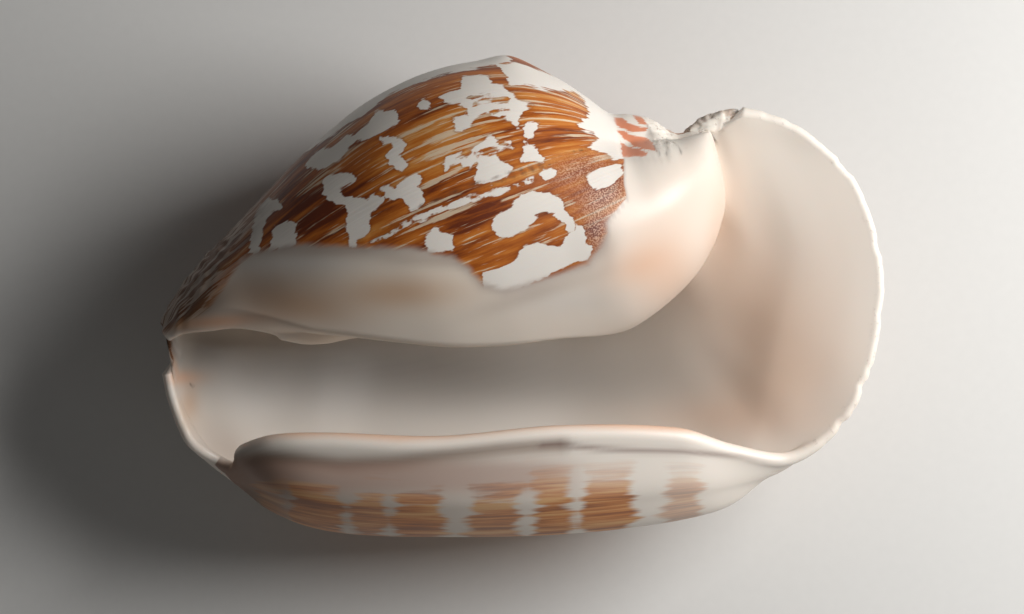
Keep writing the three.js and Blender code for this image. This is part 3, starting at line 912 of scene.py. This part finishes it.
class Nodes:
    """Short calls that add nodes to one material."""

    def __init__(self, material):
        self.tree = material.node_tree

    def add(self, kind, **settings):
        node = self.tree.nodes.new(kind)
        for name, value in settings.items():
            setattr(node, name, value)
        return node

    def plug(self, socket, value):
        """Links a socket or sets its value. An array is a colour."""
        if isinstance(value, bpy.types.NodeSocket):
            self.tree.links.new(value, socket)
        elif isinstance(value, np.ndarray):
            socket.default_value = (*value.tolist(), 1)
        elif value is not None:
            socket.default_value = value

    def math(self, operation, a, b=None, clamp=False):
        node = self.add("ShaderNodeMath", operation=operation, use_clamp=clamp)
        self.plug(node.inputs[0], a)
        self.plug(node.inputs[1], b)
        return node.outputs[0]

    def fact(self, name, output="Fac"):
        """A field that is stored on the mesh."""
        return self.add("ShaderNodeAttribute", attribute_name=name).outputs[output]

    def place(self):
        return self.add("ShaderNodeTexCoord").outputs["Object"]

    def step(self, value, low, high):
        """0 at low and 1 at high, smooth between."""
        node = self.add("ShaderNodeMapRange", interpolation_type="SMOOTHSTEP")
        self.plug(node.inputs["Value"], value)
        self.plug(node.inputs["From Min"], low)
        self.plug(node.inputs["From Max"], high)
        return node.outputs[0]

    def noise(self, vector, scale, stretch=(1, 1, 1), detail=3.0, roughness=0.5):
        mapping = self.add("ShaderNodeMapping")
        self.plug(mapping.inputs["Vector"], vector)
        mapping.inputs["Scale"].default_value = stretch
        node = self.add("ShaderNodeTexNoise")
        self.plug(node.inputs["Vector"], mapping.outputs[0])
        for name, value in (("Scale", scale), ("Detail", detail), ("Roughness", roughness)):
            node.inputs[name].default_value = value
        return node.outputs["Fac"]

    def scaled(self, value, factor):
        return self.math("MULTIPLY", value, factor)

    def moved(self, value, noise, reach):
        """The value, moved to both sides by noise, over the reach in all."""
        return self.math("ADD", value, self.scaled(self.math("SUBTRACT", noise, 0.5), reach))

    def mix(self, a, b, share):
        node = self.add("ShaderNodeMix", data_type="RGBA")
        self.plug(node.inputs[0], share)
        self.plug(node.inputs[6], a)
        self.plug(node.inputs[7], b)
        return node.outputs[2]

    def ramp(self, value, stops):
        node = self.add("ShaderNodeValToRGB")
        self.plug(node.inputs[0], value)
        ramp = node.color_ramp
        while len(ramp.elements) < len(stops):
            ramp.elements.new(0.5)
        for element, (at, colour) in zip(ramp.elements, stops):
            element.position = at
            element.color = (*colour, 1)
        return node.outputs[0]


def new_material(name):
    """A material, short calls for its nodes, and its shader."""
    material = bpy.data.materials.new(name)
    material.use_nodes = True
    return material, Nodes(material), material.node_tree.nodes["Principled BSDF"]


# Noise along the growth lines: waves a millimetre, their share along the shell, detail, roughness.
GROWTH_NOISES = {
    "broad": (0.32, 0.1, 5, 0.55),
    "fine": (1.1, 0.09, 4, 0.55),
    "ragged": (0.6, 0.24, 4, 0.55),
    "streak": (0.45, 0.16, 5, 0.6),
    "thin": (0.85, 0.055, 4, 0.6),
    "uneven": (0.17, 0.45, 2, 0.5),
    "stripe": (0.42, 0.3, 3, 0.5),
    "ridge": (1.5, 0.05, 3, 0.5),
}
# Noise in space: waves a metre, detail, roughness.
SPACE_NOISES = {"grain": (2600, 2, 0.5), "cloud": (45, 3, 0.5), "crumb": (700, 5, 0.7)}
# Gloss of the enamel and how light passes into it, in metres.
ENAMEL_SURFACE = {
    "IOR": 1.53,
    "Subsurface Weight": 0.08,
    "Subsurface Radius": (1.0, 0.6, 0.4),
    "Subsurface Scale": 0.002,
}


def shell_noises(n):
    growth = n.fact("growth", "Vector")
    place = n.place()
    noise = {}
    for name, (scale, stretch, *fineness) in GROWTH_NOISES.items():
        noise[name] = n.noise(growth, scale, (1, stretch, 1), *fineness)
    for name, (scale, *fineness) in SPACE_NOISES.items():
        noise[name] = n.noise(place, scale, (1, 1, 1), *fineness)
    return noise


def brown_depth(n, noise):
    """How pale the brown of the streaks is."""
    depth = n.moved(noise["broad"], noise["fine"], 0.45)
    depth = n.math("ADD", depth, n.scaled(n.fact("pale"), 0.14))
    return n.math("SUBTRACT", depth, n.scaled(n.fact("dark"), 0.16))


def painted_field(n, noise, depth):
    """Brown streaks with pale lines, sandy purple near the spire, white blotches and the old lip."""
    lines = n.step(n.math("ADD", noise["thin"], n.scaled(n.fact("pale"), 0.09)), 0.56, 0.62)
    brown = n.mix(n.ramp(depth, STREAK_BROWNS), PALE_LINE, n.scaled(lines, 0.8))
    purple = n.mix(*SANDS, n.step(noise["grain"], 0.44, 0.6))
    brown = n.mix(brown, purple, n.scaled(n.fact("purple"), 0.8))
    edge = n.moved(n.fact("blotch"), noise["ragged"], 3.2)
    brown = n.mix(brown, BLOTCH_RIM, n.scaled(n.step(edge, 0.9, 0.1), 0.35))
    white = n.mix(*BLOTCH_WHITES, noise["cloud"])
    field = n.mix(white, brown, n.step(edge, -0.1, 0.26))
    broken_line = n.scaled(n.fact("old_lip"), n.step(noise["fine"], 0.4, 0.6))
    return n.mix(field, OLD_LIP_BROWN, broken_line)


def with_lip_patches(n, colour, noise, depth):
    """Brown patches on the outside of the lip, with streaky and uneven ends."""
    patch = n.moved(n.moved(n.fact("patch"), noise["streak"], 8.0), noise["uneven"], 11.0)
    shown = n.scaled(n.step(patch, -1.2, 1.8), n.fact("patch_power"))
    return n.mix(colour, n.ramp(depth, LIP_BROWNS), n.scaled(shown, 0.92))


def with_spire_bands(n, colour, noise):
    bands = n.step(n.moved(n.fact("band"), noise["ragged"], 1.6), 0.2, -0.2)
    return n.mix(colour, n.mix(*SPIRE_COLOURS, bands), n.fact("spire"))


def with_tip_stripes(n, colour, noise, shown):
    """Brown and grey stripes of the front tip, where it is painted."""
    stripes = n.mix(*TIP_COLOURS, n.step(noise["stripe"], 0.47, 0.55))
    striped = n.mix(colour, stripes, n.scaled(n.fact("tip"), 0.85))
    return n.mix(colour, striped, shown)


def shell_material():
    """Enamel with brown streaks and white blotches, worn chalky at the apex and the margin."""
    material, n, shader = new_material("conch_shell")
    noise = shell_noises(n)
    depth = brown_depth(n, noise)
    pits = n.step(noise["crumb"], 0.56, 0.66)

    enamel = n.mix(n.fact("tone", "Color"), VEILED, n.scaled(n.fact("limit"), 0.45))
    shown = n.step(n.moved(n.fact("painted"), noise["ragged"], 1.6), -1.2, 1.0)
    colour = n.mix(enamel, painted_field(n, noise, depth), shown)
    colour = with_lip_patches(n, colour, noise, depth)
    colour = with_spire_bands(n, colour, noise)
    colour = with_tip_stripes(n, colour, noise, shown)
    colour = n.mix(colour, CRACK_BROWN, n.scaled(n.fact("crack"), 0.8))
    colour = n.mix(colour, n.mix(*CHALKS, pits), n.scaled(n.fact("worn"), 0.85))
    n.plug(shader.inputs["Base Color"], colour)

    roughness = n.math("ADD", 0.38, n.scaled(noise["cloud"], 0.12))
    roughness = n.math("ADD", roughness, n.scaled(n.fact("worn"), 0.4), clamp=True)
    n.plug(shader.inputs["Roughness"], roughness)
    for name, value in ENAMEL_SURFACE.items():
        shader.inputs[name].default_value = value

    height = n.scaled(noise["ridge"], n.step(n.fact("painted"), -2, 2))
    height = n.math("ADD", height, n.scaled(pits, n.fact("worn")))
    bump = n.add("ShaderNodeBump")
    bump.inputs["Strength"].default_value = 0.25
    bump.inputs["Distance"].default_value = 0.0003
    n.plug(bump.inputs["Height"], height)
    n.plug(shader.inputs["Normal"], bump.outputs[0])
    return material


def make_shell():
    points, known = make_sheet()
    mesh = union(grid_mesh("sheet", points), make_pillar(), make_knot())
    drawn = vertex_array(mesh, "co")
    origin = nearest_index(points.reshape(-1, 3), drawn)
    on = Surface(drawn, {name: values.reshape(-1)[origin] for name, values in known.items()})
    lifted = drawn + vertex_array(mesh, "normal") * relief(drawn, on)[:, None]
    mesh.vertices.foreach_set("co", rest_frame(lifted).reshape(-1))
    mesh.update()
    mesh.name = "conch"
    mesh.shade_smooth()
    mesh.materials.clear()
    mesh.materials.append(shell_material())
    for name, values in paint_facts(on).items():
        store_fact(mesh, name, values)
    return placed("conch", mesh)


def table_material():
    material, n, shader = new_material("table")
    n.plug(shader.inputs["Base Color"], n.mix(*TABLE_GREYS, n.noise(n.place(), 400, detail=2)))
    shader.inputs["Roughness"].default_value = 0.65
    return material


# The camera looks straight into the mouth, from far away: the point it looks at and the width that it
# sees, in millimetres, and its distance in metres.
PICTURE_CENTRE = (83.2, 10.9)
PICTURE_WIDTH = 247.8
CAMERA_DISTANCE = 1.5


def make_camera():
    target = rest_frame(np.array([[*PICTURE_CENTRE, 0.0]]))[0]
    back = Vector((0, -math.sin(LYING_ROLL), math.cos(LYING_ROLL)))
    right = Vector((1, 0, 0))
    camera = bpy.data.cameras.new("camera")
    camera.lens = camera.sensor_width * CAMERA_DISTANCE / (PICTURE_WIDTH * MM)
    camera.clip_start = 0.05
    camera.clip_end = 20
    holder = placed("camera", camera)
    turned = Matrix((right, back.cross(right), back)).transposed().to_4x4()
    holder.matrix_world = Matrix.Translation(Vector(target) + back * CAMERA_DISTANCE) @ turned
    bpy.context.scene.camera = holder


TABLE_HALF = 3.0


def make_table():
    corners = [(x * TABLE_HALF, y * TABLE_HALF, 0) for x, y in ((-1, -1), (1, -1), (1, 1), (-1, 1))]
    mesh = bpy.data.meshes.new("table")
    mesh.from_pydata(corners, [], [(0, 1, 2, 3)])
    mesh.materials.append(table_material())
    placed("table", mesh)


# Lights: name, place and width in metres, power in watts.
LIGHTS = [("key", (0.36, 0.08, 0.32), 0.28, 2.75), ("fill", (0.35, -0.55, 0.35), 0.4, 0.25)]
LIGHT_TARGET = Vector((0, 0, 0.03))
SKY_STRENGTH = 0.06


def area_light(name, place, width, power):
    light = bpy.data.lights.new(name, "AREA")
    light.shape = "RECTANGLE"
    light.size = width
    light.size_y = width
    light.energy = power
    holder = placed(name, light)
    holder.location = place
    holder.rotation_euler = (LIGHT_TARGET - Vector(place)).to_track_quat("-Z", "Y").to_euler()


def make_light():
    """A large soft light from the right, and a little of it from all round."""
    for light in LIGHTS:
        area_light(*light)
    world = bpy.data.worlds.new("studio")
    world.use_nodes = True
    background = world.node_tree.nodes["Background"]
    background.inputs["Color"].default_value = (1, 1, 1, 1)
    background.inputs["Strength"].default_value = SKY_STRENGTH
    bpy.context.scene.world = world
    bpy.context.scene.view_settings.view_transform = "Standard"


shell = make_shell()
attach(shell, "root")
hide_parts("shell")
make_camera()
make_table()
make_light()
